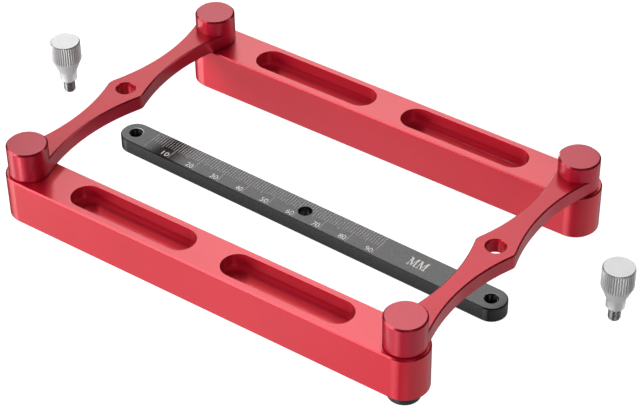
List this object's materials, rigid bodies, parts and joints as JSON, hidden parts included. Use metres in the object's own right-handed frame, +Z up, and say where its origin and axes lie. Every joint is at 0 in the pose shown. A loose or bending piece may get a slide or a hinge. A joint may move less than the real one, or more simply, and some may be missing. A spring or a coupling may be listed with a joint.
{
  "type": "self centering doweling jig",
  "caption": "Self centering doweling jig: long rails on swinging links, with a loose scale bar that carries a guide hole, and knurled thumb screws.",
  "frame": {"origin": "on the axis of the guide hole in the scale bar, at the surface that the jig lies on, which is the underside of the bar and of the lock screw's head", "axes": "+X along the rails to the right, +Y from the front rail to the rear rail, +Z up along the guide hole"},
  "size_m": [0.2164, 0.1034, 0.03],
  "materials": {
    "red_rail": "red anodised, satin",
    "red_link": "red anodised, satin",
    "black_bar": "black anodised, matte, with a white scale",
    "nickel_knob": "bright nickel plate",
    "stud_steel": "plain threaded steel",
    "screw_steel": "dark oiled steel",
    "bush_bronze": "plain turned bronze",
    "washer_plastic": "dark slippery plastic"
  },
  "bodies": {
    "front_rail": {"front_rail": "red_rail", "front_left_bush": "bush_bronze", "front_right_bush": "bush_bronze"},
    "left_link": {"left_link": "red_link", "front_left_pivot_screw": "screw_steel", "rear_left_pivot_screw": "screw_steel", "front_left_thrust_washer": "washer_plastic", "rear_left_thrust_washer": "washer_plastic"},
    "right_link": {"right_link": "red_link", "front_right_lock_screw": "screw_steel", "rear_right_pivot_screw": "screw_steel", "front_right_thrust_washer": "washer_plastic", "rear_right_thrust_washer": "washer_plastic"},
    "rear_rail": {"rear_rail": "red_rail", "rear_left_bush": "bush_bronze", "rear_right_bush": "bush_bronze"},
    "guide_bar": {"guide_bar": "black_bar"},
    "left_thumb_screw": {"left_thumb_knob": "nickel_knob", "left_thumb_stud": "stud_steel"},
    "right_thumb_screw": {"right_thumb_knob": "nickel_knob", "right_thumb_stud": "stud_steel"}
  },
  "joints": [
    {"name": "parallelogram_swing", "type": "hinge", "parent": "front_rail", "child": "left_link", "pos_m": [-0.07079, -0.04539, 0.01998], "axis": [0, 0, 1], "range_deg": [-64, 70]},
    {"name": "right_link_swing", "type": "hinge", "parent": "front_rail", "child": "right_link", "pos_m": [0.06621, -0.04539, 0.01998], "axis": [0, 0, 1], "range_deg": [-64, 70]},
    {"name": "rear_rail_swing", "type": "hinge", "parent": "left_link", "child": "rear_rail", "pos_m": [-0.06621, 0.04299, 0.01998], "axis": [0, 0, 1], "range_deg": [-70, 64]},
    {"name": "guide_bar_centring", "type": "hinge", "parent": "left_link", "child": "guide_bar", "pos_m": [-0.0685, -0.0012, 0.00263], "axis": [0, 0, 1], "range_deg": [-70, 64]},
    {"name": "left_thumb_screw_turn", "type": "hinge", "parent": "left_link", "child": "left_thumb_screw", "pos_m": [-0.1065, 0.0132, 0], "axis": [0, 0, 1], "continuous": true},
    {"name": "right_thumb_screw_turn", "type": "hinge", "parent": "right_link", "child": "right_thumb_screw", "pos_m": [0.0999, 0.016, 0], "axis": [0, 0, 1], "continuous": true}
  ],
  "couplings": [
    {"joint": "right_link_swing", "follows": "parallelogram_swing", "ratio": 1},
    {"joint": "rear_rail_swing", "follows": "parallelogram_swing", "ratio": -1},
    {"joint": "guide_bar_centring", "follows": "parallelogram_swing", "ratio": -1}
  ]
}
